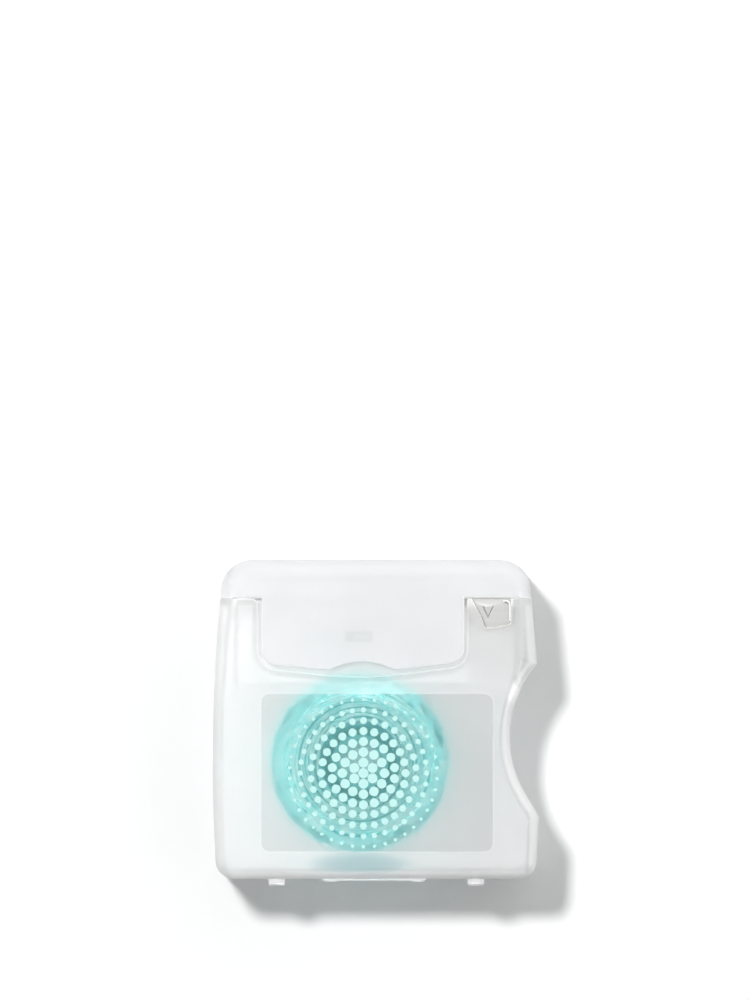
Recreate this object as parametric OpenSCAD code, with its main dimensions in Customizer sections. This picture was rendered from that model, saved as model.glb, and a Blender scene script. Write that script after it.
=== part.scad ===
// Flip lid dental floss dispenser, lying on its back with the front face up.
// A moulded clamshell case holds a bobbin of wound floss on a hub post. The lid turns on a
// living hinge at the top rear edge, and its flap covers a latch bar in the front wall.

/* [Case] */
// Height from the bottom face to the top of the lid
case_h = 56; // [54:0.5:60]
// Half of the width at the widest level
half_w = 28.75; // [28.5:0.25:32]
// Thickness from the back face to the front face
case_t = 19; // [18.5:0.25:22]
// Wall thickness of the mouldings
wall = 1.2; // [1.1:0.05:1.3]
// Radius of the bowed sides
bow_r = 312; // [280:4:400]
// Height of the widest level above the bottom face
bow_y = 20.7; // [17:0.1:24]
// Radius of the two bottom corners
bottom_corner_r = 3.2; // [2.8:0.1:3.8]
// Radius of the two top corners
top_corner_r = 5.3; // [4.6:0.1:5.8]
// Rounding of the front edge round the body
edge_r = 2; // [1.7:0.1:2.3]
// Rounding of the front edge along the top of the lid
lid_edge_r = 3.1; // [2.6:0.1:3.5]
// Rounding of the back edge
back_edge_r = 0.9; // [0.7:0.05:1]
// Depth of the front half of the case, from the front face to the split
front_depth = 4; // [3.6:0.1:4.4]
// Height of the inner lip that joins the two halves
lip_h = 0.8; // [0.5:0.1:1.2]

/* [Finger notch] */
// Lower end of the notch above the bottom face
notch_low = 11; // [10:0.25:12]
// Upper end of the notch above the bottom face
notch_high = 37.7; // [37:0.1:38.6]
// Slope of the lower flank away from the side, in degrees
notch_low_angle = 31; // [29:1:33]
// Slope of the upper flank away from the side, in degrees
notch_high_angle = 40; // [38:1:42]
// Radius of the hollow of the notch
notch_r = 19.5; // [18.5:0.25:20.5]
// Rounding at the lower end of the notch
notch_low_r = 1.8; // [1.4:0.1:2.2]
// Rounding at the upper end of the notch
notch_high_r = 0.9; // [0.7:0.1:1.2]

/* [Lid] */
// Height of the lid's skirt
lid_h = 6.7; // [6.4:0.1:7.4]
// Seam between the lid and the case
lid_gap = 0.15; // [0.1:0.01:0.3]
// Distance of the flap's left edge from the widest level of the case
flap_left_in = 8.59; // [8.2:0.01:9.2]
// Distance of the flap's right edge from the widest level of the case
flap_right_in = 13.25; // [13.15:0.05:14.2]
// Thickness of the flap
flap_t = 1.1; // [0.9:0.05:1.2]
// Drop of the flap's left lower corner below the seam
flap_left_drop = 11.6; // [11.2:0.1:12]
// Drop of the flap's right lower corner below the seam
flap_right_drop = 11.2; // [10.8:0.1:11.6]
// Radius of the flap's lower corners
flap_corner_r = 2.9; // [2.4:0.1:3.4]
// Drop of the flap's edge on both sides of the finger arch
arch_drop = 12.6; // [12.2:0.1:12.9]
// Left end of the finger arch from the middle line
arch_left = 8.4; // [7.6:0.1:9]
// Right end of the finger arch from the middle line
arch_right = 3.3; // [2.8:0.1:4]
// Rise of the arch's guiding corner
arch_rise = 2.3; // [2:0.1:2.6]
// Radius of the arch
arch_r = 11; // [10:0.5:12]
// Rounding at the two ends of the arch
arch_end_r = 2; // [1.6:0.1:2.4]
// Gap round the flap in its recess
flap_gap = 0.6; // [0.4:0.05:0.65]
// Depth of the recess for the flap
recess_depth = 1.5; // [1.4:0.05:1.6]
// Drop of the recess's lowest level below the seam
recess_drop = 14.1; // [13.8:0.1:14.4]
// Radius of the gently curved lower edge of the recess
recess_low_r = 60; // [50:1:80]
// Rounding where the recess meets the seam on the left
recess_mouth_r = 1.3; // [1:0.1:1.6]

/* [Latch] */
// Length of the latch bar
latch_w = 4.8; // [4:0.1:6]
// Height of the latch bar
latch_h = 1.8; // [1.4:0.1:2.2]
// How far the latch bar stands up from the recess
latch_proud = 0.8; // [0.6:0.05:0.9]
// Middle of the latch bar to the left of the middle line
latch_left = 3.1; // [2.5:0.1:4]
// Drop of the latch bar's middle below the seam
latch_drop = 6.7; // [6:0.1:7.2]

/* [Cutter] */
// Thickness of the sheet steel
steel_t = 0.4; // [0.3:0.05:0.5]
// Distance of the steel clip's left edge from the right widest level of the case
clip_left_in = 12.75; // [12.4:0.05:13]
// Distance of the steel clip's right edge from the right widest level of the case
clip_right_in = 4.65; // [4.55:0.05:4.85]
// Length of the clip's leg behind the window
clip_front_h = 5.9; // [5.7:0.1:6.4]
// Length of the clip's rear leg
clip_rear_h = 3.4; // [2.6:0.1:4]
// Width of the slanted corner cut off the left of the clip's front leg
clip_cut_w = 2.3; // [1.8:0.1:2.5]
// Height of that cut
clip_cut_h = 3.6; // [3:0.1:4]
// Depth of the clip from front to back
clip_depth = 5.4; // [4.6:0.1:6]
// Outer bend radius of the clip
clip_bend_r = 0.6; // [0.55:0.05:0.8]
// Width of the tooth at its root
tooth_w = 1.7; // [1.4:0.1:2]
// Length of the tooth
tooth_h = 1.8; // [1.5:0.1:2.1]
// Distance of the tooth's middle from the right widest level of the case
tooth_in = 9.05; // [8.7:0.05:9.3]
// Drop of the tooth's root below the seam
tooth_drop = 1.4; // [1.2:0.1:1.7]
// Slit round the tooth
tooth_slit = 0.14; // [0.1:0.02:0.2]
// Outward tilt of the tooth, in degrees
tooth_tilt = 14; // [8:1:18]

// Width of the tongue that stands up from the clip's top
tongue_w = 1.8; // [1.4:0.1:2]
// Height of the tongue above the deck
tongue_h = 1.9; // [1.5:0.1:2.1]
// Forward lean of the tongue from its root to its tip
tongue_run = 1.4; // [1:0.1:1.4]
// Distance of the tongue's root behind the clip's front leg
tongue_back = 2.1; // [2.1:0.1:2.6]

/* [Cutter window] */
// Distance of the window's left end at the seam from the right widest level of the case
window_left_in = 11.95; // [11.75:0.05:12.05]
// Distance of the window's right edge from the right widest level of the case
window_right_in = 5.05; // [4.95:0.05:5.35]
// Distance of the knee of the window's slanted left edge from the right widest level
window_knee_in = 10.35; // [10.1:0.05:10.7]
// Drop of that knee below the seam
window_knee_drop = 3; // [2.7:0.1:3.3]
// Distance of the left end of the window's lower edge from the right widest level
window_low_left_in = 9.55; // [9.3:0.05:9.7]
// Distance of the right end of the window's lower edge from the right widest level
window_low_right_in = 7.85; // [7.5:0.05:8.2]
// Drop of the window's lower edge below the seam
window_drop = 5.1; // [4.9:0.1:5.3]
// Drop of the window's right lower corner below the seam
window_side_drop = 4.4; // [4.2:0.1:4.6]
// Rounding of the window's corners
window_r = 0.4; // [0.3:0.05:0.5]

/* [Spool] */
// Middle of the spool to the left of the middle line
spool_left = 2.86; // [2.4:0.05:3.2]
// Middle of the spool above the bottom face
spool_y = 20.47; // [20:0.1:20.8]
// Radius of the hub post
post_r = 4.95; // [4.6:0.05:5.2]
// Running clearance of the bobbin round the post
running_gap = 0.05; // [0.03:0.01:0.08]
// Wall of the hollow hub post
post_wall = 1.2; // [1:0.05:1.4]
// Wall of the bobbin
bobbin_wall = 1.2; // [1:0.05:1.3]
// Height of the ring that carries the bobbin above the back wall
thrust_h = 0.8; // [0.6:0.1:1]
// Radius of the floss pack under its outer turns
pack_r = 14.85; // [14.4:0.05:15]
// Length of bobbin left bare below and above the floss
bobbin_margin = 0.65; // [0.5:0.05:0.8]
// Diameter of the outer turns
strand_d = 0.9; // [0.8:0.02:0.92]
// Distance from one outer turn to the next
turn_pitch = 1.42; // [1.4:0.01:1.6]
// Bend radius of the turns where they pass from the drum to the face
turn_bend_r = 1.6; // [1.5:0.05:1.9]

/* [Label] */
// Distance of the label film's left edge from the widest level of the case
label_left_in = 8.45; // [8:0.05:9]
// Distance of the label film's right edge from the widest level of the case
label_right_in = 8.15; // [8:0.05:9.1]
// Lower edge of the label film above the bottom face
label_low = 4.7; // [4.2:0.1:5.4]
// Distance of the label film's upper edge from the recess
label_gap = 2.6; // [1.8:0.1:3.6]
// Corner radius of the label film
label_corner_r = 1.6; // [1.2:0.1:2.2]
// Thickness of the label film
film_t = 0.12; // [0.08:0.01:0.16]

/* [Bottom edge] */
// Distance of the two hinge loops from the middle line
loop_x = 17.5; // [16.5:0.1:19]
// Width of a hinge loop
loop_w = 2.9; // [2.5:0.1:3.3]
// Rounding of a strap's outer corners, seen from the front
loop_corner_r = 0.35; // [0.25:0.05:0.45]
// Width of the neck of a hinge loop in the bottom wall
neck_w = 1.4; // [1.2:0.1:1.8]
// How far a hinge loop stands out below the bottom face
loop_out = 1.3; // [1.1:0.05:1.5]
// Thickness of the strap of a hinge loop
loop_t = 0.5; // [0.4:0.05:0.6]
// Half of a hinge loop's length across the split
loop_half = 2.2; // [1.9:0.1:2.6]
// Left end of the raised bottom bar from the middle line
bar_left = 9.5; // [8.8:0.1:10.2]
// Right end of the raised bottom bar from the middle line
bar_right = 8.8; // [8:0.1:9.4]
// How far the bottom bar stands out
bar_out = 0.5; // [0.4:0.05:0.6]
// How far the two ends of the bottom bar stand out beyond it
nub_out = 0.18; // [0.12:0.02:0.26]
// Width of those ends
nub_w = 1.8; // [1.4:0.1:2.2]
// Distance of the bottom bar from the back face and from the split
bar_inset = 2.6; // [2:0.1:3.4]

/* [Inside] */
// Thickness of the wall behind the recess
pan_t = 1; // [0.9:0.05:1.1]
// Distance of the inner ribs' inner faces from the widest level of the case
rib_in = 4.45; // [4.25:0.05:4.5]
// Thickness of the inner ribs
rib_t = 0.8; // [0.7:0.05:0.9]
// Height of the inner ribs from the front wall
rib_h = 5; // [4:0.1:6]
// Radius of the floss outlet in the deck
outlet_r = 1.3; // [1:0.1:1.6]
// Distance of the floss outlet from the middle line
outlet_x = 8; // [5:0.25:11]
// Radius of the bead of the lid's living hinge
bead_r = 0.3; // [0.25:0.01:0.34]
// Half of the length of the lid's living hinge
bead_half = 15; // [12:0.5:18]

/* [Hidden] */
$fn = 64;
// Overrun of cuts past the faces that they open
overrun = 0.5;
// Smallest radius that a rounded corner keeps when it is drawn inward
least_r = 0.3;
// Distance between pieces of different bodies
body_gap = 0.3;
// Half of the play in the lap joint and in slots
fit_gap = 0.02;
case_top = case_h - lid_h;
split_z = case_t - front_depth;
deck_low = case_top - wall;
flap_left = half_w - flap_left_in;
flap_right = half_w - flap_right_in;
clip_left = half_w - clip_left_in;
clip_right = half_w - clip_right_in;
tooth_x = half_w - tooth_in;
window_right = half_w - window_right_in;
label_right = half_w - label_right_in;
label_high = case_top - recess_drop - label_gap;
spool_x = -spool_left;
frost = [0.9, 0.92, 0.92, 0.55];
frost_lid = [0.94, 0.95, 0.96, 0.6];

// Rounded outlines: each corner is x, y, radius (negative in a hollow corner) and chords
function unit(v) = v / norm(v);
function turned(v, w) = [v[0] * cos(w) - v[1] * sin(w), v[0] * sin(w) + v[1] * cos(w)];
function place_of(c) = [c[0], c[1]];
function normal(p, q) = let (e = unit(q - p)) [-e[1], e[0]];
function moved_corner(list, i, d) =
  let (n = len(list), v = place_of(list[i]))
  let (a = normal(place_of(list[(i + n - 1) % n]), v))
  let (b = normal(v, place_of(list[(i + 1) % n])))
  v + d * (a + b) / (1 + a * b);
function moved_radius(r, d) = r > 0 ? max(r - d, least_r) : r - d;
function arc(p, v, q, r, n) =
  let (u = unit(p - v), w = unit(q - v), turn = acos(-u * w), side = sign(r))
  let (c = v + unit(u + w) * abs(r) / cos(turn / 2))
  let (start = v + u * abs(r) * tan(turn / 2) - c)
  [for (k = [0:n]) c + turned(start, side * turn * k / n)];
function rounded(list, d = 0) =
  let (n = len(list), m = [for (i = [0:n - 1]) moved_corner(list, i, d)])
  [for (i = [0:n - 1]) each (list[i][2] == 0
    ? [m[i]]
    : arc(m[(i + n - 1) % n], m[i], m[(i + 1) % n], moved_radius(list[i][2], d), list[i][3]))];

// Side of the case: a shallow bow, and its tangent at a level
function side(y) = half_w - (y - bow_y) * (y - bow_y) / (2 * bow_r);
function side_tangent(level, y) = side(level) - (level - bow_y) / bow_r * (y - level);
bow_low = bottom_corner_r;
bow_high = case_h - top_corner_r;
bow_mid = (bow_low + bow_high) / 2;
notch_run = (notch_high - notch_low) / (1 / tan(notch_low_angle) + 1 / tan(notch_high_angle));
case_corners = [
  [side_tangent(bow_low, 0), 0, bottom_corner_r, 6],
  [side(notch_low), notch_low, notch_low_r, 4],
  [side(notch_low) - notch_run, notch_low + notch_run / tan(notch_low_angle), -notch_r, 14],
  [side(notch_high), notch_high, notch_high_r, 4],
  [side_tangent(bow_high, case_h), case_h, top_corner_r, 8],
  [-side_tangent(bow_high, case_h), case_h, top_corner_r, 8],
  [-side_tangent(bow_low, bow_mid), bow_mid, bow_r, 12],
  [-side_tangent(bow_low, 0), 0, bottom_corner_r, 6]
];
outer_line = rounded(case_corners);
mid_x = (max([for (p = outer_line) p[0]]) + min([for (p = outer_line) p[0]])) / 2;
mid_y = (case_h - loop_out) / 2;

// Rings of the case from the back face to the front face, inset by a wall w.
// The front rounding grows from the body's radius to the lid's, so the seam stays flush.
function lid_share(y) = let (s = min(1, max(0, (y - case_top / 2) / (case_top / 2)))) s * s * (3 - 2 * s);
function blend(a, b, share) = a + (b - a) * share;
function front_point(a, b, za, zb, share) =
  [blend(a[0], b[0], share), blend(a[1], b[1], share), blend(za, zb, share)];
function front_ring(w, angle) =
  let (a = rounded(case_corners, w + (edge_r - w) * (1 - cos(angle))))
  let (b = rounded(case_corners, w + (lid_edge_r - w) * (1 - cos(angle))))
  let (za = case_t - w - (edge_r - w) * (1 - sin(angle)))
  let (zb = case_t - w - (lid_edge_r - w) * (1 - sin(angle)))
  [for (i = [0:len(a) - 1]) front_point(a[i], b[i], za, zb, lid_share(outer_line[i][1]))];
function flat_ring(d, z) = [for (p = rounded(case_corners, d)) [p[0], p[1], z]];
function back_ring(angle) = flat_ring(back_edge_r * (1 - cos(angle)), back_edge_r * (1 - sin(angle)));

// A ring past a flat face, in line with the last two, so that a cut there leaves a true plane
past_share = 0.25;
function past(last, before) = [for (i = [0:len(last) - 1]) last[i] + past_share * (last[i] - before[i])];
function back_rings(w) = w > 0
  ? [flat_ring(w, w - overrun)]
  : concat([past(back_ring(90), back_ring(60))], [for (a = [60:-30:0]) back_ring(a)]);
function front_rings(w) = concat([for (a = [0:18:72]) front_ring(w, a)],
  [past(front_ring(w, 90), front_ring(w, 72))]);

module skin(rings) {
  n = len(rings[0]);
  last = len(rings) - 1;
  bands = [for (k = [0:last - 1], i = [0:n - 1])
    let (a = k * n + i, b = k * n + (i + 1) % n)
    each [[a, a + n, b], [b, a + n, b + n]]];
  polyhedron([for (r = rings) each r],
    concat([[for (i = [0:n - 1]) i]], bands, [[for (i = [n - 1:-1:0]) last * n + i]]));
}

// The flat faces are left to whatever cuts this form at the planes of the case
module case_form(w) {
  skin(concat(back_rings(w), front_rings(w)));
}

module block(low, high) {
  translate(low) cube(high - low);
}

// Extrusion along x of an outline given in y and z
module along_x(low_x, high_x) {
  translate([low_x, 0, 0]) rotate([90, 0, 90]) linear_extrude(high_x - low_x) children();
}

module placed() {
  translate([-mid_x, -mid_y, 0]) children();
}

module slab(corners, low_z, high_z) {
  translate([0, 0, low_z]) linear_extrude(high_z - low_z) polygon(rounded(corners));
}

// Flap, recess, window and label outlines, counterclockwise from the lower left
flap_corners = [
  [-flap_left, case_top - flap_left_drop, flap_corner_r, 6],
  [-arch_left, case_top - arch_drop, arch_end_r, 4],
  [(arch_right - arch_left) / 2, case_top - arch_drop + arch_rise, -arch_r, 8],
  [arch_right, case_top - arch_drop, arch_end_r, 4],
  [flap_right, case_top - flap_right_drop, flap_corner_r, 6],
  [flap_right, case_top + lid_gap + wall, 0, 0],
  [-flap_left, case_top + lid_gap + wall, 0, 0]
];
recess_left = flap_left + flap_gap;
recess_right = flap_right + flap_gap;
recess_corners = [
  [-recess_left, case_top - flap_left_drop - flap_gap, flap_corner_r + flap_gap, 6],
  [(arch_right - arch_left) / 2, case_top - recess_drop, recess_low_r, 8],
  [recess_right, case_top - flap_right_drop - flap_gap, flap_corner_r + flap_gap, 6],
  [recess_right, case_top + overrun, 0, 0],
  [-recess_left - 2 * recess_mouth_r, case_top + overrun, 0, 0],
  [-recess_left - 2 * recess_mouth_r, case_top, 0, 0],
  [-recess_left, case_top, -recess_mouth_r, 5]
];
window_corners = [
  [half_w - window_low_left_in, case_top - window_drop, window_r, 4],
  [half_w - window_low_right_in, case_top - window_drop, window_r, 4],
  [window_right, case_top - window_side_drop, window_r, 4],
  [window_right, case_top + overrun, 0, 0],
  [half_w - window_left_in, case_top + overrun, 0, 0],
  [half_w - window_left_in, case_top, 0, 0],
  [half_w - window_knee_in, case_top - window_knee_drop, -window_r, 4]
];
label_corners = [
  [label_left_in - half_w, label_low, label_corner_r, 8],
  [label_right, label_low, label_corner_r, 8],
  [label_right, label_high, label_corner_r, 8],
  [label_left_in - half_w, label_high, label_corner_r, 8]
];
bar_corners = [
  [-bar_left + bar_out, -bar_out - nub_out, 0, 0],
  [-bar_left + bar_out + nub_w, -bar_out - nub_out, 0, 0],
  [-bar_left + bar_out + nub_w + nub_out, -bar_out, 0, 0],
  [bar_right - bar_out - nub_w - nub_out, -bar_out, 0, 0],
  [bar_right - bar_out - nub_w, -bar_out - nub_out, 0, 0],
  [bar_right - bar_out, -bar_out - nub_out, 0, 0],
  [bar_right + nub_out, 0, 0, 0],
  [bar_right + nub_out, overrun, 0, 0],
  [-bar_left - nub_out, overrun, 0, 0],
  [-bar_left - nub_out, 0, 0, 0]
];

// Levels of the spool: the bobbin runs between a ring on the back wall and one on the front wall
inner_front = case_t - wall;
pan_back = case_t - recess_depth - pan_t;
bobbin_low = wall + thrust_h + running_gap;
turns_high = pan_back - body_gap;
turns_lift = 0.1;
face_z = turns_high - strand_d / 2;
pack_low = bobbin_low + bobbin_margin;
pack_high = face_z - strand_d / 2 - turns_lift;
bobbin_high = pack_high + bobbin_margin;
bobbin_bore_r = post_r + running_gap;
bobbin_r = bobbin_bore_r + bobbin_wall;
rings_per_loop = 24;
chord_dip = pack_r * (1 / cos(180 / rings_per_loop) - 1);
turn_r = pack_r + chord_dip + turns_lift + strand_d / 2;

// Hinge line of the lid: the bead lies in a groove of the back wall's top edge
hinge_back = bead_r + running_gap;
hinge_y = case_h - hinge_back;
hinge_z = wall + running_gap / 2;

// Steel clip: front leg behind the window, top leg on the deck, rear leg through a slot
clip_front = inner_front - steel_t;
clip_back = clip_front - clip_depth;

module post_at() {
  translate([spool_x, spool_y, 0]) children();
}

module tube(outer, inner, low, high) {
  translate([0, 0, low]) difference() {
    cylinder(r = outer, h = high - low);
    translate([0, 0, -overrun]) cylinder(r = inner, h = high - low + 2 * overrun);
  }
}

// The floss leaves the spool's chamber through a hole in the deck
module outlet() {
  translate([outlet_x, case_top + overrun, split_z - 2 * outlet_r]) rotate([90, 0, 0])
    cylinder(r = outlet_r, h = wall + 2 * overrun);
}

// Room for the spool: it ends at the deck, which closes the case at the level of the seam
module chamber() {
  intersection() {
    case_form(wall);
    block([-half_w, 0, wall], [half_w, deck_low, inner_front]);
  }
}

module side_ribs() {
  for (x = [half_w - rib_in, rib_in - half_w - rib_t]) {
    block([x, notch_high - 2 * notch_low_r, inner_front - rib_h],
      [x + rib_t, deck_low - fit_gap, inner_front + wall / 2]);
  }
}

// Three ribs under the deck that back the clip's front leg
module clip_ribs() {
  pitch = (clip_right - clip_left - rib_t) / 2;
  for (k = [0:2]) {
    block([clip_left + k * pitch, case_top - clip_front_h + wall, split_z + fit_gap],
      [clip_left + k * pitch + rib_t, deck_low + wall / 2, clip_front - fit_gap]);
  }
}

module loop_slots() {
  for (x = [-loop_x, loop_x], z = [split_z - loop_half, split_z + loop_half - loop_t]) {
    block([x - neck_w / 2, -overrun, z], [x + neck_w / 2, wall + overrun, z + loop_t]);
  }
}

module clip_room() {
  block([clip_left - fit_gap, case_top - clip_front_h - fit_gap, clip_front - fit_gap],
    [clip_right + fit_gap, case_top + overrun, inner_front + fit_gap]);
  block([clip_left - fit_gap, deck_low - overrun, clip_back - fit_gap],
    [clip_right + fit_gap, case_top + overrun, clip_back + steel_t + fit_gap]);
  for (z = [clip_front - fit_gap, clip_back + steel_t + fit_gap]) bend_room(z);
}

// Chamfer of the deck's edge under the inside of one of the clip's bends
module bend_room(z) {
  c = moved_radius(clip_bend_r, steel_t) + fit_gap;
  along_x(clip_left - fit_gap, clip_right + fit_gap)
    polygon([[case_top - c, z], [case_top, z - c], [case_top + c, z], [case_top, z + c]]);
}

module back_shell() color(frost) placed() {
  difference() {
    intersection() {
      case_form(0);
      along_x(-half_w - overrun, half_w + overrun) polygon([[-overrun, 0], [hinge_y, 0], [hinge_y, wall],
        [case_top, wall], [case_top, split_z], [-overrun, split_z]]);
    }
    chamber();
    outlet();
    clip_room();
    loop_slots();
    hinge_groove(bead_r + running_gap);
  }
  lip();
  post_at() tube(post_r, post_r - post_wall, wall / 2, inner_front - running_gap);
  post_at() tube(bobbin_r, post_r - post_wall / 2, wall / 2, wall + thrust_h);
  slab(bar_corners, bar_inset, split_z - bar_inset);
}

// Inner lip of the back half, under the deck
module lip() {
  intersection() {
    translate([0, 0, split_z - overrun]) linear_extrude(lip_h + overrun) difference() {
      polygon(rounded(case_corners, wall / 2));
      polygon(rounded(case_corners, wall - fit_gap));
    }
    block([-half_w, 0, 0], [half_w, deck_low - fit_gap, case_t]);
  }
}

module lip_room() {
  intersection() {
    translate([0, 0, split_z - overrun]) linear_extrude(lip_h + overrun + fit_gap)
      polygon(rounded(case_corners, wall / 2 - fit_gap));
    block([-half_w, 0, 0], [half_w, deck_low, case_t]);
  }
}

module hinge_groove(r) {
  translate([-bead_half - fit_gap, hinge_y, hinge_z]) rotate([0, 90, 0])
    cylinder(r = r, h = 2 * (bead_half + fit_gap));
}

module front_shell() color(frost) placed() {
  difference() {
    union() {
      difference() {
        intersection() {
          case_form(0);
          block([-half_w - overrun, -overrun, split_z], [half_w + overrun, case_top, case_t]);
        }
        chamber();
      }
      recess_pan();
      clip_ribs();
    }
    slab(recess_corners, case_t - recess_depth, case_t + overrun);
    slab(window_corners, inner_front - overrun, case_t + overrun);
    slab(label_corners, case_t - film_t, case_t + overrun);
    clip_room();
    loop_slots();
    lip_room();
  }
  post_at() tube(bobbin_r, bobbin_bore_r, bobbin_high + running_gap, inner_front + wall / 2);
  post_at() tube(post_r - post_wall - fit_gap, post_r - 2 * post_wall, bobbin_high - lip_h,
    inner_front + wall / 2);
  latch_bar();
  side_ribs();
}

// Wall behind the recess, a step further in than the front wall
module recess_pan() {
  intersection() {
    translate([0, 0, pan_back]) linear_extrude(recess_depth + pan_t - wall / 2)
      polygon(rounded(recess_corners, -pan_t));
    block([-half_w, 0, 0], [half_w, case_top - fit_gap, case_t]);
  }
}

module latch_bar() {
  block([-latch_left - latch_w / 2, case_top - latch_drop - latch_h / 2,
      case_t - recess_depth - pan_t / 2],
    [-latch_left + latch_w / 2, case_top - latch_drop + latch_h / 2,
      case_t - recess_depth + latch_proud]);
}

module lid() color(frost_lid) placed() {
  difference() {
    union() {
      intersection() {
        case_form(0);
        block([-half_w - overrun, case_top + lid_gap, wall + running_gap],
          [half_w + overrun, case_h + overrun, case_t]);
      }
      slab(flap_corners, case_t - flap_t, case_t);
    }
    intersection() {
      case_form(wall);
      block([-half_w, case_top, 0], [half_w, case_h, inner_front]);
    }
    latch_room();
    hinge_groove(bead_r);
  }
}

// Pocket under the flap: it is longer below the bar, because the flap lifts as it moves up
module latch_room() {
  block([-latch_left - latch_w / 2 - body_gap, case_top - latch_drop - latch_h / 2 - latch_proud,
      case_t - flap_t - overrun],
    [-latch_left + latch_w / 2 + body_gap, case_top - latch_drop + latch_h / 2 + body_gap,
      case_t - recess_depth + latch_proud + body_gap]);
}

module lid_hinge() color(frost_lid) placed() {
  translate([-bead_half, hinge_y, hinge_z]) rotate([0, 90, 0]) cylinder(r = bead_r, h = 2 * bead_half);
}

// Strap across the split: an arch outside the bottom face on two necks in the wall
module hinge_loop(x) {
  arch = [
    [-loop_out, split_z - loop_half, loop_out - fit_gap, 8],
    [wall, split_z - loop_half, 0, 0],
    [wall, split_z + loop_half, 0, 0],
    [-loop_out, split_z + loop_half, loop_out - fit_gap, 8]
  ];
  front_outline = [
    [x - loop_w / 2, -loop_out, loop_corner_r, 4],
    [x + loop_w / 2, -loop_out, loop_corner_r, 4],
    [x + loop_w / 2, wall, 0, 0],
    [x - loop_w / 2, wall, 0, 0]
  ];
  intersection() {
    along_x(x - loop_w, x + loop_w) difference() {
      polygon(rounded(arch));
      polygon(rounded(arch, loop_t));
      square([wall + overrun, case_t]);
    }
    slab(front_outline, split_z - loop_half - overrun, split_z + loop_half + overrun);
  }
  for (z = [split_z - loop_half, split_z + loop_half - loop_t]) {
    block([x - neck_w / 2, -fit_gap, z], [x + neck_w / 2, wall, z + loop_t]);
  }
}

module bottom_hinge_left() color(frost) placed() {
  hinge_loop(-loop_x);
}

module bottom_hinge_right() color(frost) placed() {
  hinge_loop(loop_x);
}

// Bent strip, seen along x, then a lanced tooth in the front leg
module cutter() color([0.62, 0.6, 0.58]) placed() {
  front_end = case_top - clip_front_h;
  top = case_top + steel_t;
  bend = [
    [front_end - overrun, clip_back, 0, 0],
    [top, clip_back, clip_bend_r, 6],
    [top, inner_front, clip_bend_r, 6],
    [front_end - overrun, inner_front, 0, 0]
  ];
  root = case_top - tooth_drop;
  difference() {
    along_x(clip_left, clip_right) difference() {
      polygon(rounded(bend));
      polygon(rounded(bend, steel_t));
      translate([front_end - 2 * overrun, 0]) square([2 * overrun, case_t]);
      translate([front_end - overrun, 0])
        square([clip_front_h - clip_rear_h + overrun, clip_back + clip_depth / 2]);
    }
    translate([tooth_x, root, clip_front - overrun]) linear_extrude(steel_t + 2 * overrun)
      tooth(tooth_w / 2 + tooth_slit, tooth_h + 2 * tooth_slit);
    translate([clip_left, front_end, clip_front - overrun]) linear_extrude(steel_t + 2 * overrun)
      polygon([[-overrun, -overrun], [clip_cut_w, -overrun], [clip_cut_w, 0], [0, clip_cut_h],
        [-overrun, clip_cut_h]]);
  }
  translate([tooth_x, root, clip_front + steel_t / 2 * sin(tooth_tilt)]) rotate([-tooth_tilt, 0, 0])
    linear_extrude(steel_t)
      polygon([[-tooth_w / 2, steel_t / 2], [0, -tooth_h], [tooth_w / 2, steel_t / 2]]);
  tongue();
}

// Slanted tongue on the top leg, which leads the floss to the tooth
module tongue() {
  root = clip_front - tongue_back;
  along_x(tooth_x - tongue_w / 2, tooth_x + tongue_w / 2) polygon([
    [case_top + steel_t / 2, root],
    [case_top + tongue_h, root + tongue_run],
    [case_top + tongue_h, root + tongue_run + steel_t],
    [case_top + steel_t / 2, root + steel_t]
  ]);
}

module tooth(half, drop) {
  polygon([[-half, 0], [0, -drop], [half, 0]]);
}

module bobbin_core() color([0.9, 0.9, 0.88]) placed() {
  post_at() tube(bobbin_r, bobbin_bore_r, bobbin_low, bobbin_high);
}

// Plain core of the winding, with a rounded front edge under the outer turns
module floss_pack() color([0.55, 0.84, 0.84]) placed() {
  bend = turn_bend_r - turns_lift - strand_d / 2;
  post_at() rotate_extrude() difference() {
    union() {
      translate([bobbin_r, pack_low]) square([pack_r - bobbin_r, pack_high - bend - pack_low]);
      translate([bobbin_r, pack_low]) square([pack_r - bend - bobbin_r, pack_high - pack_low]);
      translate([pack_r - bend, pack_high - bend]) circle(r = bend);
    }
    square([bobbin_r, case_t]);
  }
}

// Outer turns: one unbroken tube that climbs the drum, rounds its edge and winds in on the face
drum_start = pack_low + strand_d / 2;
drum_run = face_z - turn_bend_r - drum_start;
bend_run = turn_bend_r * PI / 2;
face_run = turn_r - turn_bend_r - bobbin_r - strand_d;
turn_count = floor((drum_run + bend_run + face_run) / turn_pitch);
function on_drum(s) = s < drum_run;
function on_bend(s) = s < drum_run + bend_run;
function bend_angle(s) = on_drum(s) ? 0 : on_bend(s) ? (s - drum_run) / bend_run * 90 : 90;
function run_r(s) = turn_r - turn_bend_r * (1 - cos(bend_angle(s))) - max(0, s - drum_run - bend_run);
function run_z(s) = drum_start + min(s, drum_run) + turn_bend_r * sin(bend_angle(s));
function turn_point(a) = let (s = turn_pitch * a / 360) [run_r(s) * cos(a), run_r(s) * sin(a), run_z(s)];
function turn_tangent(a) = [-sin(a), cos(a), 0];
function turn_ring(a, along) =
  let (w = bend_angle(turn_pitch * a / 360), out = [cos(a) * cos(w), sin(a) * cos(w), sin(w)])
  let (up = [-cos(a) * sin(w), -sin(a) * sin(w), cos(w)])
  [for (k = [0:5]) turn_point(a) + turn_tangent(a) * along
    + (out * cos(60 * k) + up * sin(60 * k)) * strand_d / 2];

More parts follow.
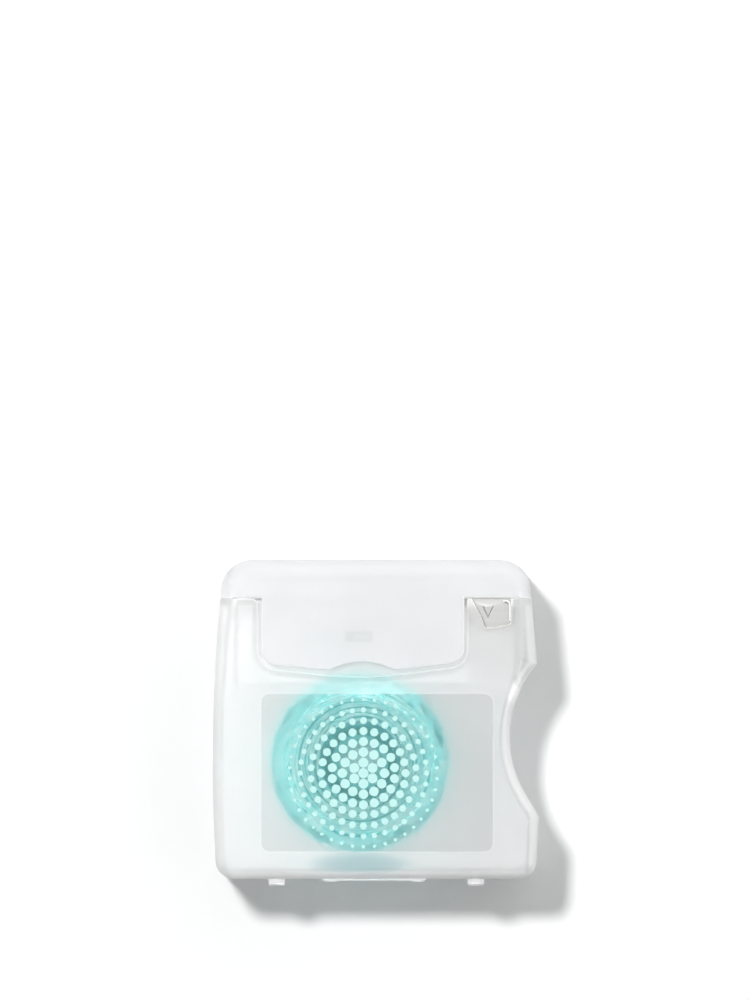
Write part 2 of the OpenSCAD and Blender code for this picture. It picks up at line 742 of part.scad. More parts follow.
module floss_turns() color([0.6, 0.88, 0.87]) placed() {
  last = 360 * turn_count;
  step = 360 / rings_per_loop;
  post_at() skin(concat([turn_ring(0, -strand_d)], [for (a = [0:step:last]) turn_ring(a, 0)],
    [turn_ring(last, strand_d)]));
}

// Least gap of the turns to themselves, measured from each point to the next turn
turn_centres = [for (a = [0:360 / rings_per_loop:360 * turn_count]) turn_point(a)];
turn_gaps = [for (i = [0:len(turn_centres) - 1 - rings_per_loop - 2], j = [-2:2])
  norm(turn_centres[i] - turn_centres[i + rings_per_loop + j]) - strand_d];
echo(turns = turn_count, least_gap = min(turn_gaps));

module label_film() color([0.93, 0.95, 0.95, 0.4]) placed() {
  slab(label_corners, case_t - film_t, case_t);
}

echo(hinge_axis = [0, hinge_y - mid_y, hinge_z], spool_axis = [spool_x - mid_x, spool_y - mid_y]);
echo(middle = [mid_x, mid_y], notch_depth_x = min([for (p = outer_line) p[0] > 0 && p[1] > notch_low
  && p[1] < notch_high ? p[0] : half_w]) - mid_x);

back_shell();
front_shell();
lid();
lid_hinge();
bottom_hinge_left();
bottom_hinge_right();
cutter();
bobbin_core();
floss_pack();
floss_turns();
label_film();
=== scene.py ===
import math
import bmesh
import bpy
import numpy as np
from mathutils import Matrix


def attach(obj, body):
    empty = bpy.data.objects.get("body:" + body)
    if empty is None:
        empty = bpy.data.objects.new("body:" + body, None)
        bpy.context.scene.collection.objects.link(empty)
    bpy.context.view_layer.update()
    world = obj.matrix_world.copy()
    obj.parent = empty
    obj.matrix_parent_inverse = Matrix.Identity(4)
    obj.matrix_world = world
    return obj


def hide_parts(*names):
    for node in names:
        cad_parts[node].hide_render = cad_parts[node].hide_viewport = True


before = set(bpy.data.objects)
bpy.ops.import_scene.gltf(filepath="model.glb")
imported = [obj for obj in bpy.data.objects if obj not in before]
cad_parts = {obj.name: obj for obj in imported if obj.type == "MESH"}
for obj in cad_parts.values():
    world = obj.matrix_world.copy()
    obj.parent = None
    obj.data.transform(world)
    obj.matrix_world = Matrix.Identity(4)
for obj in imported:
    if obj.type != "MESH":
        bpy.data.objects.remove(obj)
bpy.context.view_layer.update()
mm = 0.001

# The case in millimetres, as the solids have it: its back face is level 0 and x 0 is its middle
case = {
    "height": 56.0,
    "halfWidth": 28.75,
    "thick": 19.0,
    "bowRadius": 312.0,
    "bowLevel": 20.7,
    "bottomCorner": 3.2,
    "topCorner": 5.3,
    "seam": 49.3,  # top of the case body, where the lid's skirt starts
    "seamGap": 0.15,
    "split": 15.0,  # level at which the two halves meet
    "middle": 27.35,  # the solids' own middle, taken off y
    "strap": 17.5,  # distance of the bottom straps from the middle line
}
notch = {"low": 11.0, "high": 37.7, "lowAngle": 31.0, "highAngle": 40.0, "radius": 19.5, "lowRound": 1.8,
         "highRound": 0.9}


def unit(v):
    return v / np.linalg.norm(v, axis=-1, keepdims=True)


# Outline with rounded corners: each corner is x, y, radius (negative where hollow) and chords.
# Every corner moves inward by inset along its mitre, then an arc touching both edges replaces it.
def roundedOutline(corners, inset=0.0, least=0.05):
    corners = np.array(corners, float)
    spots = corners[:, :2]
    before, after = np.roll(spots, 1, 0), np.roll(spots, -1, 0)
    into, out = unit(spots - before), unit(after - spots)
    a = np.stack([-into[:, 1], into[:, 0]], 1)
    b = np.stack([-out[:, 1], out[:, 0]], 1)
    moved = spots + inset * (a + b) / (1 + (a * b).sum(1, keepdims=True))
    line = []
    for i, (radius, chords) in enumerate(corners[:, 2:]):
        v, p, q = moved[i], moved[i - 1], moved[(i + 1) % len(moved)]
        if radius == 0:
            line.append(v[None])
            continue
        grown = max(radius - inset, least) if radius > 0 else radius - inset
        u, w = unit(p - v), unit(q - v)
        turn = math.acos(-float(u @ w))
        centre = v + unit(u + w) * abs(grown) / math.cos(turn / 2)
        start = v + u * abs(grown) * math.tan(turn / 2) - centre
        angle = math.copysign(1, radius) * turn * np.arange(chords + 1) / chords
        line.append(centre + np.stack([start[0] * np.cos(angle) - start[1] * np.sin(angle),
                                       start[0] * np.sin(angle) + start[1] * np.cos(angle)], 1))
    return np.concatenate(line)


def bowedSide(level):  # half the case's width at a level
    return case["halfWidth"] - (level - case["bowLevel"]) ** 2 / (2 * case["bowRadius"])


def tangentAt(level, y):  # the bowed side's tangent at a level, read at another one
    return bowedSide(level) - (level - case["bowLevel"]) / case["bowRadius"] * (y - level)


def caseCorners():
    bottom, top = case["bottomCorner"], case["height"] - case["topCorner"]
    low, high = math.radians(notch["lowAngle"]), math.radians(notch["highAngle"])
    run = (notch["high"] - notch["low"]) / (1 / math.tan(low) + 1 / math.tan(high))
    half = (bottom + top) / 2
    return [[tangentAt(bottom, 0), 0, bottom, 12],
            [bowedSide(notch["low"]), notch["low"], notch["lowRound"], 8],
            [bowedSide(notch["low"]) - run, notch["low"] + run / math.tan(low), -notch["radius"], 40],
            [bowedSide(notch["high"]), notch["high"], notch["highRound"], 8],
            [tangentAt(top, case["height"]), case["height"], case["topCorner"], 16],
            [-tangentAt(top, case["height"]), case["height"], case["topCorner"], 16],
            [-tangentAt(bottom, half), half, case["bowRadius"], 24],
            [-tangentAt(bottom, 0), 0, bottom, 12]]


outerLine = roundedOutline(caseCorners())
middle = np.array([(outerLine[:, 0].max() + outerLine[:, 0].min()) / 2, case["middle"], 0.0])
lower, apex, upper = (np.array(corner[:2]) for corner in caseCorners()[1:4])
toLower, toUpper = unit(lower - apex), unit(upper - apex)
notchReach = notch["radius"] / math.sqrt((1 - toLower @ toUpper) / 2)
notchCentre = (apex + unit(toLower + toUpper) * notchReach).tolist()


def inFrame(points):  # case millimetres to metres round the solids' middle
    return (np.asarray(points, float) - middle) * mm


def newPiece(name, points, faces, body):
    mesh = bpy.data.meshes.new(name)
    mesh.from_pydata(points.tolist(), [], faces)
    mesh.update()
    piece = bpy.data.objects.new(name, mesh)
    bpy.context.scene.collection.objects.link(piece)
    if body:
        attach(piece, body)
    return piece


# Faces of a grid of points: row by row, closed round the columns, closed or capped along the rows
def gridFaces(rows, columns, closedRows=False):
    r = np.arange(rows if closedRows else rows - 1)[:, None]
    c = np.arange(columns)[None]
    nextRow, nextColumn = (r + 1) % rows, (c + 1) % columns
    quads = np.stack(np.broadcast_arrays(r * columns + c, r * columns + nextColumn,
                                         nextRow * columns + nextColumn, nextRow * columns + c), -1)
    faces = quads.reshape(-1, 4).tolist()
    if not closedRows:
        faces.append(list(range(columns))[::-1])
        faces.append(list(range((rows - 1) * columns, rows * columns)))
    return faces


def outward(mesh):  # normals out, on a closed mesh
    shape = bmesh.new()
    shape.from_mesh(mesh)
    bmesh.ops.recalc_face_normals(shape, faces=shape.faces)
    shape.to_mesh(mesh)
    shape.free()


def smoothed(piece, angle=32.0):  # smooth faces, sharp where two meet at more than the angle
    shape = bmesh.new()
    shape.from_mesh(piece.data)
    for edge in shape.edges:
        edge.smooth = len(edge.link_faces) == 2 and edge.calc_face_angle(0) < math.radians(angle)
    for face in shape.faces:
        face.smooth = True
    shape.to_mesh(piece.data)
    shape.free()
    modifier = piece.modifiers.new("evenNormals", "WEIGHTED_NORMAL")
    modifier.keep_sharp = True
    return piece


def bevelled(piece, width, angle=40.0):
    bevel = piece.modifiers.new("softEdges", "BEVEL")
    bevel.width, bevel.segments = width * mm, 2
    bevel.limit_method, bevel.angle_limit = "ANGLE", math.radians(angle)
    return smoothed(piece)


# A closed copy of a solid of the frame, which stands for it and is worked further
def solidCopy(node, name, body):
    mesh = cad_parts[node].data.copy()
    mesh.name = name
    mesh.materials.clear()
    shape = bmesh.new()
    shape.from_mesh(mesh)
    bmesh.ops.remove_doubles(shape, verts=shape.verts, dist=2e-7)
    bmesh.ops.dissolve_degenerate(shape, edges=shape.edges, dist=1e-8)
    shape.to_mesh(mesh)
    shape.free()
    piece = bpy.data.objects.new(name, mesh)
    bpy.context.scene.collection.objects.link(piece)
    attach(piece, body)
    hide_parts(node)
    return piece


# A section carried along a line in plan: each section point is an offset to the line's left and a level
def railCutter(line, section, closed):
    line, section = np.asarray(line, float), np.asarray(section, float)
    ahead = unit(np.roll(line, -1, 0) - line)
    if not closed:
        ahead[-1] = ahead[-2]
    back = np.roll(ahead, 1, 0)
    if not closed:
        back[0] = ahead[0]
    a = np.stack([-back[:, 1], back[:, 0]], 1)
    b = np.stack([-ahead[:, 1], ahead[:, 0]], 1)
    mitre = (a + b) / (1 + (a * b).sum(1, keepdims=True))
    flat = line[:, None] + mitre[:, None] * section[None, :, :1]
    levels = np.broadcast_to(section[None, :, 1:], flat.shape[:2] + (1,))
    points = inFrame(np.concatenate([flat, levels], 2)).reshape(-1, 3)
    cutter = newPiece("railCutter", points, gridFaces(len(line), len(section), closed), None)
    outward(cutter.data)
    return cutter


# Section that rounds an edge: a quarter circle inside the corner, then out and back over it
def edgeSection(radius, level, up, reach, steps=5, lift=0.002):
    turn = np.linspace(0, math.pi / 2, steps + 1)
    across = radius - lift - radius * np.sin(turn)
    along = (level + up * (lift - radius + radius * np.cos(turn)))
    return np.concatenate([np.stack([across, along], 1),
                           [[-reach, along[-1]], [-reach, level + up * reach],
                            [across[0], level + up * reach]]])


def carved(piece, cutter):
    modifier = piece.modifiers.new("carve", "BOOLEAN")
    modifier.operation, modifier.solver, modifier.object = "DIFFERENCE", "MANIFOLD", cutter
    bpy.context.view_layer.update()
    worked = piece.evaluated_get(bpy.context.evaluated_depsgraph_get())
    mesh = bpy.data.meshes.new_from_object(worked)
    if not mesh.polygons:
        raise ValueError("nothing left of " + piece.name)
    mesh.name = piece.name
    piece.modifiers.clear()
    piece.data = mesh
    bpy.data.objects.remove(cutter)
    return piece


# Node maths: a Wire is one output socket, and arithmetic on it adds Math nodes to its finish
class Wire:
    def __init__(self, finish, socket):
        self.finish, self.socket = finish, socket

    def worked(self, operation, *values):
        return self.finish.node("ShaderNodeMath", {"operation": operation}, dict(enumerate(values)))

    def __add__(self, other):
        return self.worked("ADD", self, other)

    def __mul__(self, other):
        return self.worked("MULTIPLY", self, other)

    def __sub__(self, other):
        return self.worked("SUBTRACT", self, other)

    def __rsub__(self, other):
        return self.worked("SUBTRACT", other, self)

    __radd__ = __add__
    __rmul__ = __mul__

    def magnitude(self):
        return self.worked("ABSOLUTE", self)

    def wave(self):
        return self.worked("SINE", self)

    def root(self):
        return self.worked("SQRT", self)

    def above(self, other):
        return self.worked("MAXIMUM", self, other)

    def below(self, other):
        return self.worked("MINIMUM", self, other)


class Finish:
    def __init__(self, name):
        self.material = bpy.data.materials.new(name)
        self.material.use_nodes = True
        self.tree = self.material.node_tree
        self.tree.nodes.clear()
        self.known = {}

    def node(self, kind, settings=None, values=None, out=0):
        made = self.tree.nodes.new(kind)
        for key, value in (settings or {}).items():
            setattr(made, key, value)
        for key, value in (values or {}).items():
            if isinstance(value, Wire):
                self.tree.links.new(value.socket, made.inputs[key])
            else:
                made.inputs[key].default_value = value
        return Wire(self, made.outputs[out]) if len(made.outputs) else None

    def coordinate(self, kind):
        if kind not in self.known:
            self.known[kind] = self.node("ShaderNodeTexCoord", out=kind)
        return self.known[kind]

    def apart(self, vector):
        split = self.tree.nodes.new("ShaderNodeSeparateXYZ")
        self.tree.links.new(vector.socket, split.inputs[0])
        return [Wire(self, split.outputs[k]) for k in range(3)]

    def spot(self):  # across, up and level, in the case's own millimetres
        if "spot" not in self.known:
            axes = self.apart(self.coordinate("Object"))
            self.known["spot"] = [axis * (1 / mm) + start for axis, start in zip(axes, middle.tolist())]
        return self.known["spot"]

    def facing(self):  # 1 on faces to the front or the back, 0 on walls
        if "facing" not in self.known:
            self.known["facing"] = self.apart(self.coordinate("Normal"))[2].magnitude()
        return self.known["facing"]

    def noise(self, scale, detail=2.0, stretch=(1, 1, 1)):
        at = self.node("ShaderNodeMapping", {}, {"Vector": self.coordinate("Object"), "Scale": stretch})
        return self.node("ShaderNodeTexNoise", {}, {"Vector": at, "Scale": scale, "Detail": detail})

    def eased(self, value, low, high):  # 0 below low, 1 above high, smooth between
        return self.node("ShaderNodeMapRange", {"interpolation_type": "SMOOTHSTEP"},
                         {0: value, 1: low, 2: high, 3: 0.0, 4: 1.0})

    def fading(self, value, low, high):
        return 1.0 - self.eased(value, low, high)

    def within(self, value, low, lowFull, highFull, high):  # 1 between the full levels, 0 past the others
        return self.eased(value, low, lowFull) * self.fading(value, highFull, high)

    def mixed(self, share, first, second):
        return self.node("ShaderNodeMix", {"data_type": "RGBA"}, {0: share, 6: first, 7: second}, out=2)

    def shared(self, share, first, second):
        return self.node("ShaderNodeMixShader", {}, {0: share, 1: first, 2: second})

    def bumps(self, height, strength, distance):
        return self.node("ShaderNodeBump", {},
                         {"Height": height, "Strength": strength, "Distance": distance * mm})

    def plastic(self, values):
        return self.node("ShaderNodeBsdfPrincipled", {}, values)

    def done(self, shader):
        self.node("ShaderNodeOutputMaterial", {}, {"Surface": shader})
        return self.material


def linear(red, green, blue):  # a colour read in 0 to 255, made linear
    values = np.array([red, green, blue]) / 255
    return (*np.where(values <= 0.04045, values / 12.92, ((values + 0.055) / 1.055) ** 2.4).tolist(), 1.0)


black, white = (0, 0, 0, 1), (1, 1, 1, 1)


def painted(piece, material):
    piece.data.materials.clear()
    piece.data.materials.append(material)
    return piece


# The flap, its recess and the cutter's window, as distances below the seam and from the middle line
flap = {"left": 20.16, "right": 15.5, "leftDrop": 11.6, "rightDrop": 11.2, "corner": 2.9, "archDrop": 12.6,
        "archLeft": 8.4, "archRight": 3.3, "archRise": 2.3, "archRadius": 11.0, "archEnd": 2.0, "gap": 0.6,
        "recessDrop": 14.1, "recessRadius": 60.0, "mouth": 1.3}
window = {"left": 16.8, "right": 23.7, "knee": 18.4, "kneeDrop": 3.0, "lowLeft": 19.2, "lowRight": 20.9,
          "drop": 5.1, "sideDrop": 4.4, "corner": 0.4}
rims = {"lid": 0.3, "body": 0.22, "split": 0.12, "reach": 0.3, "splitReach": 0.6, "far": 40.0}
archMiddle = (flap["archRight"] - flap["archLeft"]) / 2


def lidSilhouette():
    seam, far, bottom = case["seam"], rims["far"], case["seam"] + case["seamGap"]
    return roundedOutline([
        [-far, bottom, 0, 0], [-flap["left"], bottom, 0, 0],
        [-flap["left"], seam - flap["leftDrop"], flap["corner"], 12],
        [-flap["archLeft"], seam - flap["archDrop"], flap["archEnd"], 6],
        [archMiddle, seam - flap["archDrop"] + flap["archRise"], -flap["archRadius"], 16],
        [flap["archRight"], seam - flap["archDrop"], flap["archEnd"], 6],
        [flap["right"], seam - flap["rightDrop"], flap["corner"], 12],
        [flap["right"], bottom, 0, 0], [far, bottom, 0, 0],
        [far, far + seam, 0, 0], [-far, far + seam, 0, 0]])


def bodySilhouette():
    seam, far, gap = case["seam"], rims["far"], flap["gap"]
    left, right = flap["left"] + gap, flap["right"] + gap
    return roundedOutline([
        [-far, -far, 0, 0], [far, -far, 0, 0], [far, seam, 0, 0], [window["right"], seam, 0, 0],
        [window["right"], seam - window["sideDrop"], -window["corner"], 4],
        [window["lowRight"], seam - window["drop"], -window["corner"], 4],
        [window["lowLeft"], seam - window["drop"], -window["corner"], 4],
        [window["knee"], seam - window["kneeDrop"], window["corner"], 4],
        [window["left"], seam, 0, 0], [right, seam, 0, 0],
        [right, seam - flap["rightDrop"] - gap, -flap["corner"] - gap, 12],
        [archMiddle, seam - flap["recessDrop"], -flap["recessRadius"], 16],
        [-left, seam - flap["leftDrop"] - gap, -flap["corner"] - gap, 12],
        [-left, seam, flap["mouth"], 8], [-far, seam, 0, 0]])


print("shells and lid")
frontFace, split = case["thick"], case["split"]
lidCap = solidCopy("lid", "lidCap", "lid")
carved(lidCap, railCutter(lidSilhouette(), edgeSection(rims["lid"], frontFace, 1, rims["reach"]), True))
caseFront = solidCopy("front_shell", "caseFront", "case")
carved(caseFront, railCutter(bodySilhouette(), edgeSection(rims["body"], frontFace, 1, rims["reach"]), True))
carved(caseFront, railCutter(outerLine, edgeSection(rims["split"], split, -1, rims["splitReach"]), True))
caseBack = solidCopy("back_shell", "caseBack", "case")
carved(caseBack, railCutter(outerLine, edgeSection(rims["split"], split, 1, rims["splitReach"]), True))
for piece in (lidCap, caseFront, caseBack):
    smoothed(piece)
hingeStraps = [bevelled(solidCopy("bottom_hinge_" + side, "hingeStrap" + side.capitalize(), "case"), 0.1)
               for side in ("left", "right")]
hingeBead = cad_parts["lid_hinge"]

print("cutter")
blade = bevelled(solidCopy("cutter", "bladeClip", "case"), 0.04)

# A bead along the window's right edge and round its upper corner
bead = {"left": 22.3, "right": 23.52, "top": 0.38, "foot": 3.9, "corner": 0.8, "radius": 0.14, "level": 18.75,
        "sides": 10}
beadLine = roundedOutline([[bead["left"], case["seam"] - bead["top"], 0, 0],
                           [bead["right"], case["seam"] - bead["top"], -bead["corner"], 8],
                           [bead["right"], case["seam"] - bead["foot"], 0, 0]])
beadAngle = 2 * math.pi * np.arange(bead["sides"]) / bead["sides"]
windowBead = railCutter(beadLine, np.stack([bead["radius"] * np.cos(beadAngle),
                                            bead["level"] + bead["radius"] * np.sin(beadAngle)], 1), False)
windowBead.name = windowBead.data.name = "windowBead"
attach(smoothed(windowBead), "case")

print("spool")
spool = {
    "left": 2.86, "level": 20.47, "low": 2.7, "high": 16.2, "radius": 15.98,
    "bend": 1.7,  # rounding of the winding's front edge
    # thickness, bulge of its two plies, their twist in radians per mm
    "strand": 0.6, "swell": 0.12, "twist": 2.2,
    "step": 0.5, "depth": 0.72, "wander": 0.16, "mostWander": 0.3, "lift": 0.07,
    "crossing": 26, "crossingDepth": 0.34, "crossingWander": 0.5, "crossingLift": 0.05,
    "swing": 0.873, "unrest": 0.6, "unrestRate": 0.31, "crossingFoot": 1.5, "crossingShort": 5.2, "lean": 0.8,
    "under": 0.35, "perLoop": 60, "sides": 8, "seed": 11,
}
spoolMiddle = np.array([-spool["left"], spool["level"], 0.0])


# A lathe shape: r and z pairs of a closed profile turned round the spool's axis
def turned(name, profile, steps=96):
    profile = np.array(profile, float)
    angle = 2 * math.pi * np.arange(steps) / steps
    points = np.stack([np.cos(angle)[:, None] * profile[:, 0], np.sin(angle)[:, None] * profile[:, 0],
                       np.broadcast_to(profile[:, 1], (steps, len(profile)))], 2)
    faces = gridFaces(steps, len(profile), True)
    piece = newPiece(name, inFrame(points.reshape(-1, 3) + spoolMiddle), faces, "spool")
    outward(piece.data)
    return piece


core = {"bore": 5.0, "outer": 6.2, "low": 2.05, "high": 15.85, "round": 0.25}
coreCorners = [(core["bore"], core["low"]), (core["outer"], core["low"]), (core["outer"], core["high"]),
               (core["bore"], core["high"])]
bobbin = smoothed(turned("bobbinCore", roundedOutline([[r, z, core["round"], 5] for r, z in coreCorners])))
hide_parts("bobbin_core")


# The winding's own profile at a depth below its outside: up the drum, round its edge and in over the face.
# Run is the distance along it; the point is (r, z) and the angle is the outside's lean to the front.
def windingAt(run, depth):
    radius, bend = spool["radius"] - depth, spool["bend"]
    low, high = spool["low"] + depth, spool["high"] - depth
    drum, arc = high - bend - low, bend * math.pi / 2
    angle = np.clip((run - drum) / bend, 0, math.pi / 2)
    r = radius - bend * (1 - np.cos(angle)) - np.maximum(run - drum - arc, 0)
    z = low + np.minimum(run, drum) + bend * np.sin(angle)
    return r, z, angle, drum + arc


# A strand along a path on the winding: two twisted plies, so its section is a circle swollen twice round,
# turned steadily along the length. The angle runs round the spool and run is the place on the profile.
def strandPiece(name, angle, run, depth):
    r, z, lean, _ = windingAt(run, depth)
    centres = np.stack([r * np.cos(angle), r * np.sin(angle), z], 1)
    ahead = unit(np.gradient(centres, axis=0))
    out = np.stack([np.cos(angle) * np.cos(lean), np.sin(angle) * np.cos(lean), np.sin(lean)], 1)
    out = unit(out - (out * ahead).sum(1, keepdims=True) * ahead)
    beside = np.cross(ahead, out)
    length = np.concatenate([[0], np.cumsum(np.linalg.norm(np.diff(centres, axis=0), axis=1))])
    turn = 2 * math.pi * np.arange(spool["sides"]) / spool["sides"]
    bulge = np.cos(2 * (turn[None] - spool["twist"] * length[:, None]))
    thick = spool["strand"] / 2 * (1 - spool["swell"] + spool["swell"] * bulge)
    points = (centres[:, None] + thick[..., None] * (np.cos(turn)[None, :, None] * out[:, None]
                                                     + np.sin(turn)[None, :, None] * beside[:, None]))
    faces = gridFaces(len(points), len(turn))
    piece = newPiece(name, inFrame(points.reshape(-1, 3) + spoolMiddle), faces, "spool")
    outward(piece.data)
    piece.data.polygons.foreach_set("use_smooth", np.ones(len(piece.data.polygons), bool))
    alongAt = np.repeat(length, len(turn))
    around = np.tile(np.arange(len(turn)) / len(turn), len(length))
    for label, values in (("alongStrand", alongAt), ("roundStrand", around)):
        attribute = piece.data.attributes.new(label, "FLOAT", "POINT")
        attribute.data.foreach_set("value", values.astype(np.float32))
    return piece


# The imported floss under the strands, as a lathe profile with the same rounded edge
under = spool["strand"] + spool["under"]
edge = windingAt(np.linspace(0, spool["high"] - spool["low"] - 2 * under + spool["bend"] * 0.6, 40), under)
packProfile = np.stack([np.append(edge[0], [core["outer"] - 0.02] * 2),
                        np.append(edge[1], [edge[1][-1], spool["low"]])], 1)
flossPack = smoothed(turned("flossPack", packProfile, 128), 40)
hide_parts("floss_pack")
draw = np.random.default_rng(spool["seed"])


def waver(angle, slow, strength):  # a sum of five slow sines with drawn phases, about as far as the strength
    phases, rates = draw.uniform(0, 2 * math.pi, 5), slow * draw.uniform(0.6, 1.9, 5)
    return strength * np.sin(angle[:, None] * rates + phases).sum(1) / 2.2


steps, inset = spool["perLoop"], 0.75
runLength = (windingAt(np.zeros(1), inset)[3] + spool["radius"] - inset - spool["bend"]
             - core["outer"] - spool["step"])
loops = int(runLength / spool["step"])
angle = 2 * math.pi * np.arange(loops * steps + 1) / steps
run = spool["step"] * angle / (2 * math.pi)
wander = np.clip(waver(angle, 0.83, spool["wander"]), -spool["mostWander"], spool["mostWander"])
flossTurns = strandPiece("flossTurns", angle, np.clip(run + wander, 0, runLength),
                         spool["depth"] + waver(angle, 1.3, spool["lift"]))
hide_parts("floss_turns")
angle = 2 * math.pi * np.arange(spool["crossing"] * steps + 1) / steps
swing = 0.5 - 0.5 * np.cos(angle * spool["swing"] + spool["unrest"] * np.sin(angle * spool["unrestRate"]))
run = spool["crossingFoot"] + (runLength - spool["crossingShort"]) * swing ** spool["lean"]
flossCrossing = strandPiece("flossCrossing", angle, run + waver(angle, 0.9, spool["crossingWander"]),
                            spool["crossingDepth"] + np.abs(waver(angle, 1.7, spool["crossingLift"])))

print("label")
label = {"left": 20.3, "right": 20.6, "low": 4.7, "high": 32.6, "corner": 1.6, "thick": 0.12, "air": 0.012,
         "ink": 0.012, "edge": 0.015, "gap": 0.01, "discMiddle": (-2.25, 18.6), "discRadius": 13.9,
         "rings": 8, "largest": 1.84, "smallest": 0.42, "fade": 2.2, "points": 16, "squareness": 1.75}


def filmOutline(inset):
    corners = [(-label["left"], label["low"]), (label["right"], label["low"]),
               (label["right"], label["high"]), (-label["left"], label["high"])]
    return roundedOutline([[x, y, label["corner"], 12] for x, y in corners], inset)


floor, top = frontFace - label["thick"] + label["air"], frontFace - label["ink"]
rows = [(label["gap"], floor), (label["gap"], top - label["edge"]), (label["gap"] + label["edge"], top)]
grid = np.stack([np.insert(filmOutline(inset), 2, level, axis=1) for inset, level in rows])
film = newPiece("labelFilm", inFrame(grid.reshape(-1, 3)), gridFaces(*grid.shape[:2]), "case")
outward(film.data)
smoothed(film)
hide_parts("label_film")

# Printed motif: lozenges with rounded points on rings round one middle, smaller from ring to ring.
# A lozenge's edge is where |x|^p + |y|^p is one, scaled by its size and turned to its ring.
counts = [1] + [6 * k for k in range(1, label["rings"])]
ring = np.concatenate([np.full(n, k) for k, n in enumerate(counts)])
place = np.concatenate([2 * math.pi * (np.arange(n) + 0.5 * (k % 2)) / n for k, n in enumerate(counts)])
reach = ring * label["discRadius"] / (label["rings"] - 0.5)
shrinking = (reach / label["discRadius"]) ** label["fade"]
size = label["largest"] + (label["smallest"] - label["largest"]) * shrinking
t = 2 * math.pi * np.arange(label["points"]) / label["points"]
power = label["squareness"]
edgeAt = (np.abs(np.cos(t)) ** power + np.abs(np.sin(t)) ** power) ** (-1 / power)
along = reach[:, None] + size[:, None] / 2 * edgeAt * np.cos(t)
across = size[:, None] / 2 * edgeAt * np.sin(t)
x = label["discMiddle"][0] + along * np.cos(place)[:, None] - across * np.sin(place)[:, None]
y = label["discMiddle"][1] + along * np.sin(place)[:, None] + across * np.cos(place)[:, None]
n, m = x.shape
levels = (top - label["ink"] / 2, frontFace)
layers = np.stack([np.stack([x, y, np.full_like(x, level)], 2) for level in levels], 1)
first = (np.arange(n) * 2 * m)[:, None]
k = np.arange(m)
following = (k + 1) % m
walls = np.stack([first + k, first + following, first + m + following, first + m + k], 2)
walls = walls.reshape(-1, 4).tolist()
lids = (first + m + k).tolist() + (first + k[::-1]).tolist()
printed = newPiece("labelPrint", inFrame(layers.reshape(-1, 3)), walls + lids, "case")

print("finishes")
# The plastic's colours: near and far vary at random, the others are painted shade colours, and glow is the
# strength of the painted glow
frost = {
    "near": linear(252, 252, 252), "far": linear(248, 249, 249), "rough": 0.33, "through": 0.84,
    "clearRough": 0.16, "edgeRough": 0.36, "clearThrough": 0.99, "wallThrough": 0.35, "index": 1.45,
    "lidNear": linear(248, 249, 250), "lidFar": linear(244, 246, 247), "lidRough": 0.62, "lidThrough": 0.38,
    "hub": linear(92, 168, 167), "shade": linear(205, 214, 214), "paintedShade": linear(226, 225, 226),
    "bellyShade": linear(186, 214, 218), "glow": 0.5,
}
# Where the masks rise, or rise and fall, in case millimetres; round and flat are read off the facing
ranges = {
    "film": (-0.25, 0.1), "filmLevel": (17.5, 17.6),
    "border": (-0.15, -0.05, 0.1, 0.2), "borderLevel": (18.5, 18.7),
    "wall": (0.96, 1.8), "hub": (6.3, 7.0), "hubLevel": (1.2, 1.5, 17.9, 18.2), "blur": (11.5, 14.5),
    "round": (0.1, 0.4, 0.9, 0.99), "flat": (0.9, 0.99),
    "inner": (24.5, 26.0), "innerUp": (30.0, 33.0, 50.0, 51.0),
    "seam": (0.1, 0.3), "window": (16.2, 16.8, 23.7, 24.3), "lidLeft": (-28.3, -25.8),
    "recessRight": (16.2, 16.4), "recessUp": (34.4, 34.6), "recessLevel": (16.8, 17.0, 18.0, 18.3),
    "arch": (5.0, 7.0), "neck": (0.55, 0.75), "neckUp": (1.3, 1.6),
    "neckLevel": (14.9, 15.1), "bar": (9.8, 10.0), "barUp": (-0.05, 0.05),
    "side": (-28.0, -19.0), "sideUp": (27.35, 39.35), "paintedShade": (-18.0, 28.0), "lidTopShade": (50.35, 54.35),
}
# How much painted glow each mask adds, standing for the light inside the plastic, and how much each painted
# shade tints the plastic
glows = {"rim": 0.4, "outerRim": 0.03, "seam": 0.24, "window": 0.3, "lidLeft": 0.4, "arch": 0.12, "gap": 0.1,
         "neck": 0.1, "bar": 0.12, "border": 0.12, "side": 0.12, "sideFoot": 0.3, "hub": 0.6}
shadeTints = {"latch": 0.3, "paintedShade": 0.24, "lidShade": 0.2, "lidTopShade": 0.3, "bellyShade": 0.6}
latch = {"at": (-3.1, 42.6), "half": (2.4, 0.9), "soft": 0.35, "level": (18.0, 18.5),
         "paleAt": (-2.5, 42.6), "paleHalf": (1.3, 0.35), "paleSoft": 0.5, "pale": 0.6}
bellyShade = {"up": 2.6, "wide": 0.09, "high": 0.45}  # one over its half width and half height


def pastLabel(finish):  # distance out of the film's rectangle with round corners
    across, up, _ = finish.spot()
    halfAcross, halfUp = (label["right"] + label["left"]) / 2, (label["high"] - label["low"]) / 2
    across = (across - (label["right"] - label["left"]) / 2).magnitude() - (halfAcross - label["corner"])
    up = (up - (label["low"] + label["high"]) / 2).magnitude() - (halfUp - label["corner"])
    across, up = across.above(0.0), up.above(0.0)
    return (across * across + up * up).root() - label["corner"]


def labelMask(finish):  # 1 behind the film
    return (finish.fading(pastLabel(finish), *ranges["film"])
            * finish.eased(finish.spot()[2], *ranges["filmLevel"]))


def borderMask(finish):  # 1 on the edge of the film and of its well
    level = finish.spot()[2]
    return finish.within(pastLabel(finish), *ranges["border"]) * finish.eased(level, *ranges["borderLevel"])


